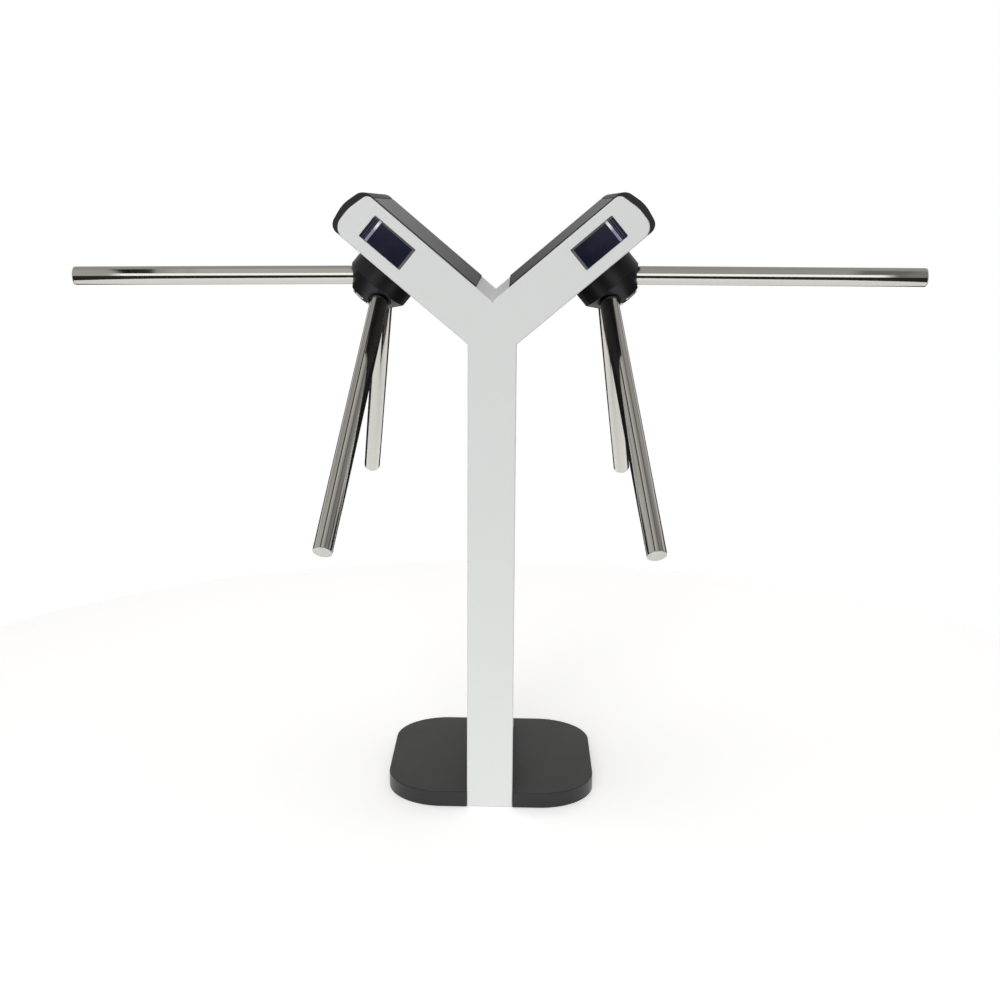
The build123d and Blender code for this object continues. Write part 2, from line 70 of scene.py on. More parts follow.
# Display lens, on the arm's front face
WINDOW_STATION = 189.5 * MM
WINDOW_LIFT = -38 * MM
LENS_LENGTH = 84.4 * MM
LENS_HEIGHT = 41.4 * MM
LENS_FRONT = 178.5 * MM
LIGHT_OFFSET = 29.2 * MM
LIGHT_WIDTH = 4.6 * MM
GROOVES = (33.7 * MM, 37.5 * MM)
GROOVE_REACH = 0.5 * MM
LENS_END_SLOPE = 4 * MM
LENS_SIDE_SLOPE = 3 * MM
LENS_CHAMFER = 0.8 * MM
LENS_DROP = 0.95 * MM
LENS_BACK = -7 * MM
EDGE_STEP = 0.02 * MM

# Fixings and boards, in the hub frame
HOUSING_BOLT_CIRCLE = 38 * MM
HOUSING_FLANGE_TOP = 24 * MM
CHASSIS_SCREW_REACH = 45 * MM
CHASSIS_SCREW_HEIGHT = 26 * MM
GUSSET_OUTER = 146 * MM
FOOT_SCREW_REACH = 22 * MM
FOOT_SCREW_DEPTHS = (-150, -50, 50, 150)
BOARD_TOP = 25.6 * MM
CHIP_EDGES = (-110, -126)
CHIP_TOP = 28 * MM
RELAY_TOP = 34 * MM
TERMINAL_TOP = 36 * MM
PIN_COUNT = 19
PIN_PITCH = 1.27 * MM

# Camera
CAMERA_PLACE = (0.040, -2.360, 1.032)
CAMERA_DOWN = math.radians(13.05)
CAMERA_TURN = math.radians(2.53)
CAMERA_LENS = 48.09
CAMERA_SHIFT = (0.0424, 0.0171)


# ------------------------------------------------------------------ frames
def placed(origin, x_axis, z_axis):
    """A matrix from an origin and two square directions."""
    x_axis = Vector(x_axis).normalized()
    z_axis = Vector(z_axis).normalized()
    turn = Matrix((x_axis, z_axis.cross(x_axis), z_axis)).transposed()
    return Matrix.Translation(origin) @ turn.to_4x4()


def arm_frame(sign, station=0.0, lift=0.0):
    along = Vector((sign * math.cos(ARM_SLOPE), 0, math.sin(ARM_SLOPE)))
    out = Vector((-sign * math.sin(ARM_SLOPE), 0, math.cos(ARM_SLOPE)))
    origin = Vector((0, 0, VERTEX_HEIGHT)) + along * station + out * lift
    return placed(origin, along, out)


def hub_frame(sign):
    return arm_frame(sign, HUB_STATION, -ARM_THICKNESS)


def bar_frame(sign, azimuth):
    turn = math.radians(azimuth)
    direction = Vector((BAR_REACH * math.cos(turn), BAR_REACH * math.sin(turn), -BAR_DROP))
    across = Vector((-math.sin(turn), math.cos(turn), 0))
    return hub_frame(sign) @ placed((0, 0, -APEX_DROP), across, direction)


def lens_frame(sign, depth):
    """X up the arm along its front face, Z to the front."""
    origin = arm_frame(sign, WINDOW_STATION, WINDOW_LIFT).translation
    return placed((origin.x, -depth, origin.z),
                  (sign * math.cos(ARM_SLOPE), 0, math.sin(ARM_SLOPE)), (0, -1, 0))


# ------------------------------------------------------------------ shader groups
def wire(tree, start, end):
    tree.links.new(start, end)


def make_group(name, inputs, outputs):
    tree = bpy.data.node_groups.new(name, "ShaderNodeTree")
    for label, kind, value in inputs:
        socket = tree.interface.new_socket(label, in_out="INPUT", socket_type=kind)
        socket.default_value = value
    for label, kind in outputs:
        tree.interface.new_socket(label, in_out="OUTPUT", socket_type=kind)
    start = tree.nodes.new("NodeGroupInput")
    end = tree.nodes.new("NodeGroupOutput")
    return tree, start.outputs, end.inputs


def noise(tree, vector, scale, detail=2.0, rough=0.5):
    node = tree.nodes.new("ShaderNodeTexNoise")
    node.inputs["Detail"].default_value = detail
    node.inputs["Roughness"].default_value = rough
    wire(tree, vector, node.inputs["Vector"])
    if isinstance(scale, (int, float)):
        node.inputs["Scale"].default_value = scale
    else:
        wire(tree, scale, node.inputs["Scale"])
    return node.outputs["Fac"]


def math_node(tree, operation, first, second=0.0, third=0.0):
    node = tree.nodes.new("ShaderNodeMath")
    node.operation = operation
    for socket, value in zip(node.inputs, (first, second, third)):
        if isinstance(value, (int, float)):
            socket.default_value = value
        else:
            wire(tree, value, socket)
    return node.outputs[0]


def spread(tree, value, low, high, out_low=0.0, out_high=1.0, smooth=False):
    node = tree.nodes.new("ShaderNodeMapRange")
    if smooth:
        node.interpolation_type = "SMOOTHSTEP"
    wire(tree, value, node.inputs["Value"])
    for label, number in (("From Min", low), ("From Max", high), ("To Min", out_low), ("To Max", out_high)):
        if isinstance(number, (int, float)):
            node.inputs[label].default_value = number
        else:
            wire(tree, number, node.inputs[label])
    return node.outputs["Result"]


def mix_colour(tree, factor, first, second):
    node = tree.nodes.new("ShaderNodeMix")
    node.data_type = "RGBA"
    for socket, value in zip((node.inputs[0], node.inputs[6], node.inputs[7]), (factor, first, second)):
        if isinstance(value, (int, float)):
            socket.default_value = value
        elif isinstance(value, tuple):
            socket.default_value = (*value, 1)
        else:
            wire(tree, value, socket)
    return node.outputs[2]


def tinted(tree, colour, factor):
    node = tree.nodes.new("ShaderNodeVectorMath")
    node.operation = "SCALE"
    wire(tree, colour, node.inputs[0])
    wire(tree, factor, node.inputs["Scale"])
    return node.outputs[0]


def bump(tree, height, distance):
    node = tree.nodes.new("ShaderNodeBump")
    node.inputs["Strength"].default_value = 1.0
    wire(tree, height, node.inputs["Height"])
    if isinstance(distance, (int, float)):
        node.inputs["Distance"].default_value = distance
    else:
        wire(tree, distance, node.inputs["Distance"])
    return node.outputs["Normal"]


def coat_texture_group():
    """A sprayed or moulded skin: cloudy patches, fine grain, and a roughness that follows the patches."""
    tree, inputs, outputs = make_group(
        "coat_texture",
        [("Colour", "NodeSocketColor", (0.5, 0.5, 0.5, 1)), ("Patchiness", "NodeSocketFloat", 0.04),
         ("Patch Scale", "NodeSocketFloat", 9.0), ("Grain Scale", "NodeSocketFloat", 900.0),
         ("Grain Depth", "NodeSocketFloat", 0.00002), ("Grain Tint", "NodeSocketFloat", 0.03),
         ("Roughness", "NodeSocketFloat", 0.5), ("Roughness Spread", "NodeSocketFloat", 0.1)],
        [("Colour", "NodeSocketColor"), ("Roughness", "NodeSocketFloat"), ("Normal", "NodeSocketVector")])
    where = tree.nodes.new("ShaderNodeTexCoord").outputs["Object"]
    patches = noise(tree, where, inputs["Patch Scale"], 3.0)
    grain = noise(tree, where, inputs["Grain Scale"], 2.0)
    patch_shift = math_node(tree, "MULTIPLY", math_node(tree, "SUBTRACT", patches, 0.5), inputs["Patchiness"])
    grain_shift = math_node(tree, "MULTIPLY", math_node(tree, "SUBTRACT", grain, 0.5), inputs["Grain Tint"])
    factor = math_node(tree, "ADD", math_node(tree, "ADD", patch_shift, grain_shift), 1.0)
    wire(tree, tinted(tree, inputs["Colour"], factor), outputs["Colour"])
    swing = math_node(tree, "MULTIPLY", math_node(tree, "SUBTRACT", patches, 0.5), inputs["Roughness Spread"])
    wire(tree, math_node(tree, "ADD", inputs["Roughness"], swing), outputs["Roughness"])
    wire(tree, bump(tree, grain, inputs["Grain Depth"]), outputs["Normal"])
    return tree


def settled_dust_group():
    """Dust that lies on faces turned upwards and thins out in patches."""
    tree, inputs, outputs = make_group(
        "settled_dust",
        [("Colour", "NodeSocketColor", (0.5, 0.5, 0.5, 1)),
         ("Dust", "NodeSocketColor", (0.42, 0.41, 0.39, 1)),
         ("Amount", "NodeSocketFloat", 0.1), ("Roughness", "NodeSocketFloat", 0.5)],
        [("Colour", "NodeSocketColor"), ("Roughness", "NodeSocketFloat")])
    where = tree.nodes.new("ShaderNodeTexCoord").outputs["Object"]
    facing = tree.nodes.new("ShaderNodeSeparateXYZ")
    wire(tree, tree.nodes.new("ShaderNodeNewGeometry").outputs["Normal"], facing.inputs[0])
    upward = spread(tree, facing.outputs["Z"], 0.35, 0.98)
    specks = spread(tree, noise(tree, where, 1500.0, 2.0), 0.5, 0.72)
    drift = spread(tree, noise(tree, where, 14.0, 4.0), 0.35, 0.75)
    film = math_node(tree, "ADD", math_node(tree, "MULTIPLY", specks, 0.6),
                     math_node(tree, "MULTIPLY", drift, 0.4))
    mask = math_node(tree, "MULTIPLY", math_node(tree, "MULTIPLY", upward, film), inputs["Amount"])
    wire(tree, mix_colour(tree, mask, inputs["Colour"], inputs["Dust"]), outputs["Colour"])
    wire(tree, math_node(tree, "ADD", inputs["Roughness"], math_node(tree, "MULTIPLY", mask, 0.4)),
         outputs["Roughness"])
    return tree


def shoe_marks_group():
    """Fine scratches and rubbed spots near the floor, strongest at the given height and gone above it."""
    tree, inputs, outputs = make_group(
        "shoe_marks",
        [("Colour", "NodeSocketColor", (0.5, 0.5, 0.5, 1)), ("Mark", "NodeSocketColor", (0.2, 0.2, 0.2, 1)),
         ("Top", "NodeSocketFloat", 0.05), ("Amount", "NodeSocketFloat", 0.3)],
        [("Colour", "NodeSocketColor"), ("Mask", "NodeSocketFloat")])
    where = tree.nodes.new("ShaderNodeTexCoord").outputs["Object"]
    place = tree.nodes.new("ShaderNodeSeparateXYZ")
    wire(tree, where, place.inputs[0])
    low = spread(tree, place.outputs["Z"], inputs["Top"], 0.0)
    stretch = tree.nodes.new("ShaderNodeMapping")
    stretch.inputs["Scale"].default_value = (30, 34, 420)
    stretch.inputs["Rotation"].default_value = (0.12, 0.08, 0.5)
    wire(tree, where, stretch.inputs["Vector"])
    lines = spread(tree, noise(tree, stretch.outputs["Vector"], 3.0, 3.0), 0.6, 0.68)
    spots = spread(tree, noise(tree, where, 22.0, 3.0), 0.52, 0.7)
    mask = math_node(tree, "MULTIPLY", math_node(tree, "MULTIPLY", lines, spots), low)
    mask = math_node(tree, "MULTIPLY", mask, inputs["Amount"])
    wire(tree, mix_colour(tree, mask, inputs["Colour"], inputs["Mark"]), outputs["Colour"])
    wire(tree, mask, outputs["Mask"])
    return tree


def drawn_metal_group():
    """Polishing lines that run along U of the piece's own UV map, and faint finger marks."""
    tree, inputs, outputs = make_group(
        "drawn_metal",
        [("Colour", "NodeSocketColor", (0.6, 0.6, 0.6, 1)), ("Line Count", "NodeSocketFloat", 160.0),
         ("Line Depth", "NodeSocketFloat", 0.000004), ("Line Tint", "NodeSocketFloat", 0.08),
         ("Roughness", "NodeSocketFloat", 0.12), ("Smudge", "NodeSocketFloat", 0.08)],
        [("Colour", "NodeSocketColor"), ("Roughness", "NodeSocketFloat"), ("Normal", "NodeSocketVector")])
    coordinates = tree.nodes.new("ShaderNodeTexCoord")
    parts = tree.nodes.new("ShaderNodeSeparateXYZ")
    wire(tree, coordinates.outputs["UV"], parts.inputs[0])
    combined = tree.nodes.new("ShaderNodeCombineXYZ")
    wire(tree, math_node(tree, "MULTIPLY", parts.outputs["X"], 3.0), combined.inputs["X"])
    wire(tree, math_node(tree, "MULTIPLY", parts.outputs["Y"], inputs["Line Count"]), combined.inputs["Y"])
    lines = noise(tree, combined.outputs[0], 1.0, 3.0, 0.6)
    marks = spread(tree, noise(tree, coordinates.outputs["Object"], 34.0, 4.0), 0.5, 0.72)
    shift = math_node(tree, "MULTIPLY", math_node(tree, "SUBTRACT", lines, 0.5), inputs["Line Tint"])
    wire(tree, tinted(tree, inputs["Colour"], math_node(tree, "ADD", shift, 1.0)), outputs["Colour"])
    haze = math_node(tree, "MULTIPLY", marks, inputs["Smudge"])
    streak = math_node(tree, "MULTIPLY", lines, 0.05)
    wire(tree, math_node(tree, "ADD", math_node(tree, "ADD", inputs["Roughness"], haze), streak),
         outputs["Roughness"])
    wire(tree, bump(tree, lines, inputs["Line Depth"]), outputs["Normal"])
    return tree


def turned_rings_group():
    """Tool marks as rings round an axis, for faced and turned steel."""
    tree, inputs, outputs = make_group(
        "turned_rings",
        [("Centre", "NodeSocketVector", (0, 0, 0)), ("Axis", "NodeSocketVector", (0, 0, 1)),
         ("Rings", "NodeSocketFloat", 2400.0), ("Depth", "NodeSocketFloat", 0.000006),
         ("Colour", "NodeSocketColor", (0.5, 0.5, 0.5, 1)), ("Roughness", "NodeSocketFloat", 0.25)],
        [("Colour", "NodeSocketColor"), ("Roughness", "NodeSocketFloat"), ("Normal", "NodeSocketVector")])
    where = tree.nodes.new("ShaderNodeTexCoord").outputs["Object"]
    offset = tree.nodes.new("ShaderNodeVectorMath")
    offset.operation = "SUBTRACT"
    wire(tree, where, offset.inputs[0])
    wire(tree, inputs["Centre"], offset.inputs[1])
    arm = tree.nodes.new("ShaderNodeVectorMath")
    arm.operation = "CROSS_PRODUCT"
    wire(tree, offset.outputs[0], arm.inputs[0])
    wire(tree, inputs["Axis"], arm.inputs[1])
    radius = tree.nodes.new("ShaderNodeVectorMath")
    radius.operation = "LENGTH"
    wire(tree, arm.outputs[0], radius.inputs[0])
    rings = math_node(tree, "MULTIPLY", radius.outputs["Value"], inputs["Rings"])
    line = tree.nodes.new("ShaderNodeCombineXYZ")
    wire(tree, rings, line.inputs["X"])
    cuts = noise(tree, line.outputs[0], 1.0, 2.0)
    stains = noise(tree, where, 45.0, 4.0)
    shade = math_node(tree, "ADD", spread(tree, cuts, 0.3, 0.7, 0.9, 1.06),
                      spread(tree, stains, 0.35, 0.7, 0.03, -0.12))
    wire(tree, tinted(tree, inputs["Colour"], shade), outputs["Colour"])
    wire(tree, math_node(tree, "ADD", inputs["Roughness"], spread(tree, stains, 0.3, 0.7, -0.05, 0.14)),
         outputs["Roughness"])
    wire(tree, bump(tree, cuts, inputs["Depth"]), outputs["Normal"])
    return tree


coat_texture = coat_texture_group()
settled_dust = settled_dust_group()
shoe_marks = shoe_marks_group()
drawn_metal = drawn_metal_group()
turned_rings = turned_rings_group()


# ------------------------------------------------------------------ finishes
def start_finish(name, **constants):
    """A Principled material; constants are its sockets that are the same all over."""
    material = bpy.data.materials.new(name)
    material.use_nodes = True
    tree = material.node_tree
    shader = tree.nodes["Principled BSDF"]
    for label, value in constants.items():
        shader.inputs[label.replace("_", " ")].default_value = value
    return material, tree, shader.inputs


def use_group(tree, group, **values):
    node = tree.nodes.new("ShaderNodeGroup")
    node.node_tree = group
    for label, value in values.items():
        socket = node.inputs[label.replace("_", " ")]
        if isinstance(value, (int, float)):
            socket.default_value = value
        elif isinstance(value, tuple):
            socket.default_value = (*value, 1) if socket.type == "RGBA" else value
        elif isinstance(value, Vector):
            socket.default_value = value
        else:
            wire(tree, value, socket)
    return node.outputs


def coated(name, colour, roughness, grain_scale, grain_depth, patchiness=0.05, grain_tint=0.04,
           rough_spread=0.12, dust=0.06, dust_colour=(0.42, 0.41, 0.39), **constants):
    """A powder coat or moulded plastic with grain, patches and a little dust."""
    material, tree, shader = start_finish(name, **constants)
    skin = use_group(tree, coat_texture, Colour=colour, Patchiness=patchiness, Grain_Scale=grain_scale,
                     Grain_Depth=grain_depth, Grain_Tint=grain_tint, Roughness=roughness,
                     Roughness_Spread=rough_spread)
    dusty = use_group(tree, settled_dust, Colour=skin["Colour"], Amount=dust, Dust=dust_colour,
                      Roughness=skin["Roughness"])
    wire(tree, dusty["Colour"], shader["Base Color"])
    wire(tree, dusty["Roughness"], shader["Roughness"])
    wire(tree, skin["Normal"], shader["Normal"])
    return material


def base_coat():
    """Textured black powder coat that shoes have brushed."""
    material, tree, shader = start_finish("base_black_coat", IOR=1.42)
    skin = use_group(tree, coat_texture, Colour=(0.018, 0.018, 0.019), Patchiness=0.12, Grain_Scale=1300.0,
                     Grain_Depth=0.00003, Grain_Tint=0.25, Roughness=0.36, Roughness_Spread=0.1)
    dusty = use_group(tree, settled_dust, Colour=skin["Colour"], Amount=0.07, Roughness=skin["Roughness"])
    marked = use_group(tree, shoe_marks, Colour=dusty["Colour"], Mark=(0.12, 0.12, 0.12), Top=0.04,
                       Amount=0.35)
    wire(tree, marked["Colour"], shader["Base Color"])
    wire(tree, math_node(tree, "ADD", dusty["Roughness"], math_node(tree, "MULTIPLY", marked["Mask"], 0.3)),
         shader["Roughness"])
    wire(tree, skin["Normal"], shader["Normal"])
    return material


def lid_finish():
    """Fine-grained black powder coat, glossier on the upper half of the lid than beside the V."""
    material, tree, shader = start_finish("lid_black_coat", IOR=1.46)
    skin = use_group(tree, coat_texture, Colour=(0.010, 0.010, 0.0105), Patchiness=0.15, Grain_Scale=1500.0,
                     Grain_Depth=0.000004, Grain_Tint=0.25, Roughness=0.2, Roughness_Spread=0.06)
    dusty = use_group(tree, settled_dust, Colour=skin["Colour"], Amount=0.06, Roughness=skin["Roughness"])
    place = tree.nodes.new("ShaderNodeSeparateXYZ")
    wire(tree, tree.nodes.new("ShaderNodeTexCoord").outputs["Object"], place.inputs[0])
    out_along = math_node(tree, "ABSOLUTE", place.outputs["X"])
    wire(tree, spread(tree, out_along, 0.02, 0.17, 0.12, 0.42), shader["Specular IOR Level"])
    wire(tree, dusty["Colour"], shader["Base Color"])
    wire(tree, dusty["Roughness"], shader["Roughness"])
    wire(tree, skin["Normal"], shader["Normal"])
    return material


def polished_tube():
    """Polished stainless tube."""
    material, tree, shader = start_finish("polished_stainless", Metallic=1.0)
    drawn = use_group(tree, drawn_metal, Colour=(0.61, 0.595, 0.565), Line_Count=150.0, Line_Depth=0.0000015,
                      Line_Tint=0.10, Roughness=0.055, Smudge=0.05)
    wire(tree, drawn["Colour"], shader["Base Color"])
    wire(tree, drawn["Roughness"], shader["Roughness"])
    wire(tree, drawn["Normal"], shader["Normal"])
    return material


def turned_metal(name, colour, roughness, centre, axis, rings=2400.0, depth=0.000006):
    material, tree, shader = start_finish(name, Metallic=1.0)
    cut = use_group(tree, turned_rings, Colour=colour, Roughness=roughness, Centre=Vector(centre),
                    Axis=Vector(axis), Rings=rings, Depth=depth)
    wire(tree, cut["Colour"], shader["Base Color"])
    wire(tree, cut["Roughness"], shader["Roughness"])
    wire(tree, cut["Normal"], shader["Normal"])
    return material


def plated(name, colour, roughness, patch_scale=30.0, grain_scale=500.0, grain_depth=0.000008):
    """Zinc plate or ground steel: metallic, cloudy, with a fine tooth."""
    material, tree, shader = start_finish(name, Metallic=1.0)
    skin = use_group(tree, coat_texture, Colour=colour, Patchiness=0.28, Patch_Scale=patch_scale,
                     Grain_Scale=grain_scale, Grain_Depth=grain_depth, Grain_Tint=0.12, Roughness=roughness,
                     Roughness_Spread=0.25)
    wire(tree, skin["Colour"], shader["Base Color"])
    wire(tree, skin["Roughness"], shader["Roughness"])
    wire(tree, skin["Normal"], shader["Normal"])
    return material


def smoked_lens():
    """Deep blue-black acrylic with a cell-like haze far inside and light finger marks."""
    material, tree, shader = start_finish("smoked_lens", IOR=1.45, Specular_IOR_Level=0.22)
    where = tree.nodes.new("ShaderNodeTexCoord").outputs["Object"]
    cells = tree.nodes.new("ShaderNodeTexVoronoi")
    cells.inputs["Scale"].default_value = 420.0
    wire(tree, where, cells.inputs["Vector"])
    haze = spread(tree, noise(tree, where, 26.0, 3.0), 0.3, 0.75)
    tone = mix_colour(tree, haze, (0.0060, 0.0075, 0.019), (0.0095, 0.0112, 0.026))
    fleck = spread(tree, cells.outputs["Distance"], 0.0, 0.6, 0.9, 1.1)
    wire(tree, tinted(tree, tone, fleck), shader["Base Color"])
    wire(tree, spread(tree, noise(tree, where, 60.0, 4.0), 0.35, 0.75, 0.06, 0.16), shader["Roughness"])
    return material


def light_guide():
    """Frosted lilac light pipe with a painted bright spot over its diode: near each diode the base colour
    turns near-white, standing in for the diode's glow.
    """
    material, tree, shader = start_finish("frosted_light_guide", IOR=1.49)
    where = tree.nodes.new("ShaderNodeTexCoord").outputs["Object"]
    glow = None
    for sign in SIDES.values():
        spot = lens_frame(sign, LENS_FRONT) @ Vector((LIGHT_OFFSET, sign * 11 * MM, 0))
        near = tree.nodes.new("ShaderNodeVectorMath")
        near.operation = "DISTANCE"
        near.inputs[1].default_value = spot
        wire(tree, where, near.inputs[0])
        fall = spread(tree, near.outputs["Value"], 0.0, 12 * MM, 1.0, 0.0, smooth=True)
        glow = fall if glow is None else math_node(tree, "MAXIMUM", glow, fall)
    frost = spread(tree, noise(tree, where, 700.0, 3.0), 0.3, 0.7, 0.88, 1.08)
    # Painted glow: the base colour is mixed toward near-white by distance to each diode spot, in place of
    # emitted light.
    tone = mix_colour(tree, glow, (0.22, 0.225, 0.33), (0.80, 0.80, 0.90))
    wire(tree, tinted(tree, tone, frost), shader["Base Color"])
    wire(tree, spread(tree, noise(tree, where, 300.0, 2.0), 0.3, 0.7, 0.18, 0.34), shader["Roughness"])
    return material


def circuit_laminate():
    """Green solder mask over fine copper tracks."""
    material, tree, shader = start_finish("circuit_laminate", IOR=1.5)
    where = tree.nodes.new("ShaderNodeTexCoord").outputs["Object"]
    tracks = tree.nodes.new("ShaderNodeTexBrick")
    tracks.inputs["Scale"].default_value = 130.0
    tracks.inputs["Mortar Size"].default_value = 0.028
    tracks.inputs["Color1"].default_value = (0.012, 0.105, 0.042, 1)
    tracks.inputs["Color2"].default_value = (0.016, 0.125, 0.05, 1)
    tracks.inputs["Mortar"].default_value = (0.05, 0.24, 0.10, 1)
    wire(tree, where, tracks.inputs["Vector"])
    wire(tree, tracks.outputs["Color"], shader["Base Color"])
    wire(tree, spread(tree, noise(tree, where, 90.0, 3.0), 0.3, 0.7, 0.22, 0.38), shader["Roughness"])
    wire(tree, bump(tree, tracks.outputs["Fac"], 0.00003), shader["Normal"])
    return material


def braided_sleeve():
    """Black polyester braid over a cable bundle."""
    material, tree, shader = start_finish("braided_sleeve", IOR=1.45)
    where = tree.nodes.new("ShaderNodeTexCoord").outputs["Object"]
    weave = tree.nodes.new("ShaderNodeTexWave")
    weave.wave_type = "BANDS"
    weave.bands_direction = "DIAGONAL"
    weave.inputs["Scale"].default_value = 260.0
    weave.inputs["Distortion"].default_value = 1.5
    wire(tree, where, weave.inputs["Vector"])
    wire(tree, mix_colour(tree, weave.outputs["Fac"], (0.012, 0.012, 0.013), (0.045, 0.045, 0.048)),
         shader["Base Color"])
    wire(tree, spread(tree, weave.outputs["Fac"], 0.0, 1.0, 0.75, 0.5), shader["Roughness"])
    wire(tree, bump(tree, weave.outputs["Fac"], 0.0003), shader["Normal"])
    return material


panel_coat = coated("panel_light_coat", (0.640, 0.655, 0.655), 0.42, 850.0, 0.000022, patchiness=0.03,
                    grain_tint=0.05, dust=0.05, IOR=1.5)
lid_coat = lid_finish()
skin_coat = coated("skin_black_coat", (0.014, 0.014, 0.015), 0.42, 1100.0, 0.00002, patchiness=0.15,
                   grain_tint=0.2, dust=0.05, IOR=1.42)
base_black = base_coat()
cap_plastic = coated("cap_moulded_black", (0.014, 0.014, 0.0155), 0.46, 2100.0, 0.00002, patchiness=0.1,
                     grain_tint=0.2, dust=0.03, IOR=1.4)
hub_satin = coated("hub_satin_black", (0.0095, 0.0095, 0.0125), 0.36, 1800.0, 0.000012, patchiness=0.12,
                   grain_tint=0.2, dust=0.02, IOR=1.4)
plug_plastic = coated("plug_light_plastic", (0.60, 0.605, 0.57), 0.4, 1600.0, 0.000015, patchiness=0.05,
                      grain_tint=0.05, dust=0.03, IOR=1.47)
soft_rubber = coated("gasket_rubber", (0.012, 0.012, 0.012), 0.72, 2600.0, 0.00003, patchiness=0.2,
                     grain_tint=0.3, dust=0.1, IOR=1.5)
relay_plastic = coated("component_black", (0.02, 0.02, 0.021), 0.4, 2400.0, 0.00001, patchiness=0.1,
                       grain_tint=0.2, dust=0.03, IOR=1.5)
terminal_plastic = coated("terminal_green", (0.03, 0.22, 0.09), 0.42, 2400.0, 0.00001, patchiness=0.08,
                          grain_tint=0.1, dust=0.03, IOR=1.5)
cast_housing = coated("cast_aluminium", (0.56, 0.57, 0.58), 0.5, 900.0, 0.00008, patchiness=0.2,
                      grain_tint=0.2, rough_spread=0.2, dust=0.05, Metallic=1.0)
zinc_sheet = plated("zinc_sheet", (0.55, 0.56, 0.58), 0.36, 26.0, 420.0)
screw_steel = plated("screw_steel", (0.30, 0.30, 0.31), 0.32, 120.0, 1500.0)
spring_steel = plated("spring_steel", (0.42, 0.42, 0.43), 0.28, 200.0, 2000.0)
race_steel = plated("race_steel", (0.64, 0.64, 0.65), 0.14, 60.0, 2600.0, 0.000002)
magnet_nickel = plated("magnet_nickel", (0.62, 0.60, 0.56), 0.2, 90.0, 1800.0, 0.000003)
window_smoked = smoked_lens()
guide_frosted = light_guide()
board_laminate = circuit_laminate()
sleeve_braid = braided_sleeve()
tube_polish = polished_tube()
# Painted light on the smoked lens: its grooves, lower slope and upper side are the same acrylic, painted
# lighter blue, grey and olive for how light falls on those faces.
lens_groove_painted_highlight = coated("painted_highlight_groove_blue", (0.050, 0.056, 0.085), 0.3, 1900.0, 0.00001, patchiness=0.1,
                     grain_tint=0.1, dust=0.02, IOR=1.45)
lens_slope_painted_light = coated("lens_slope_painted_light_grey", (0.105, 0.108, 0.112), 0.34, 1900.0, 0.00001, patchiness=0.1,
                  grain_tint=0.15, dust=0.02, IOR=1.49)
lens_side_painted_light = coated("lens_side_painted_light_olive", (0.052, 0.056, 0.050), 0.3, 1900.0, 0.00001, patchiness=0.1,
                      grain_tint=0.15, dust=0.02, IOR=1.49)


def paint(material, *names):
    """Give CAD nodes a finish."""
    for name in names:
        for material_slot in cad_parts[name].material_slots:
            material_slot.material = material


def both(name):
    return (f"left_{name}", f"right_{name}")


paint(panel_coat, "front_panel", "back_panel", "saddle_panel")
paint(skin_coat, *both("side_skin"))
paint(lid_coat, *both("lid"))
paint(base_black, *both("base_cover"))
paint(cap_plastic, *both("end_cap"))
paint(hub_satin, *both("hub"))
paint(zinc_sheet, "base_plate", "column_frame", "mechanism_plates", "panel_spacers", "power_supply")
paint(cast_housing, "bearing_housings")
paint(relay_plastic, "sensor_forks", "damper_bodies")
paint(spring_steel, "pawl_posts", "pawl_springs", *both("lock_pawl"))
paint(race_steel, "bearing_outer_races", *both("inner_races"), *both("lock_plunger"))
paint(screw_steel, *both("hub_screws"))
paint(magnet_nickel, "lid_magnets")
paint(guide_frosted, "status_lights")
paint(board_laminate, "display_modules")
paint(soft_rubber, "inlet_grommet")
paint(sleeve_braid, "wiring_harness")
paint(zinc_sheet, "solenoids")

for side, sign in SIDES.items():
    hub_place = hub_frame(sign)
    axis = hub_place.to_3x3() @ Vector((0, 0, 1))
    pinion_centre = hub_place @ Vector((-PINION_OFFSET, 0, 0))
    paint(turned_metal(f"{side}_turned_steel", (0.46, 0.46, 0.47), 0.26, hub_place.translation, axis),
          f"{side}_rotor_shaft", f"{side}_drive_gear", f"{side}_index_disc")
    paint(turned_metal(f"{side}_turned_brass", (0.72, 0.52, 0.22), 0.24, pinion_centre, axis),
          f"{side}_damper_pinion")


# ------------------------------------------------------------------ making meshes
def ring_points(radius, height, turns, key):
    """One ring of a turned shape; a key ring is a hexagon of that half-width."""
    points = []
    for step in range(turns):
        turn = 2 * math.pi * step / turns
        reach = radius
        if key:
            reach = radius / math.cos((turn % (math.pi / 3)) - math.pi / 6)
        points.append((reach * math.cos(turn), reach * math.sin(turn), height))
    return points


def turn_shape(bm, profile, matrix=Matrix(), turns=96, closed=False):
    """Add a shape turned round the matrix's Z from (radius, height) points, with UVs along and round it."""
    uv_layer = bm.loops.layers.uv.verify()
    rings = []
    for radius, height, *key in profile:
        points = [(0, 0, height)] if radius == 0 else ring_points(radius, height, turns, key)
        rings.append([bm.verts.new(matrix @ Vector(point)) for point in points])
    run = 0.0
    pairs = list(zip(range(len(rings)), range(1, len(rings))))
    if closed:
        pairs.append((len(rings) - 1, 0))
    for first, second in pairs:
        step_length = math.dist(profile[first][:2], profile[second][:2])
        for k in range(turns):
            corners = [(rings[first][k % len(rings[first])], run, k),
                       (rings[first][(k + 1) % len(rings[first])], run, k + 1),
                       (rings[second][(k + 1) % len(rings[second])], run + step_length, k + 1),
                       (rings[second][k % len(rings[second])], run + step_length, k)]
            unique = []
            for corner in corners:
                if corner[0] not in [kept[0] for kept in unique]:
                    unique.append(corner)
            face = bm.faces.new([corner[0] for corner in unique])
            for loop, corner in zip(face.loops, unique):
                loop[uv_layer].uv = (corner[1], corner[2] / turns)
        run += step_length


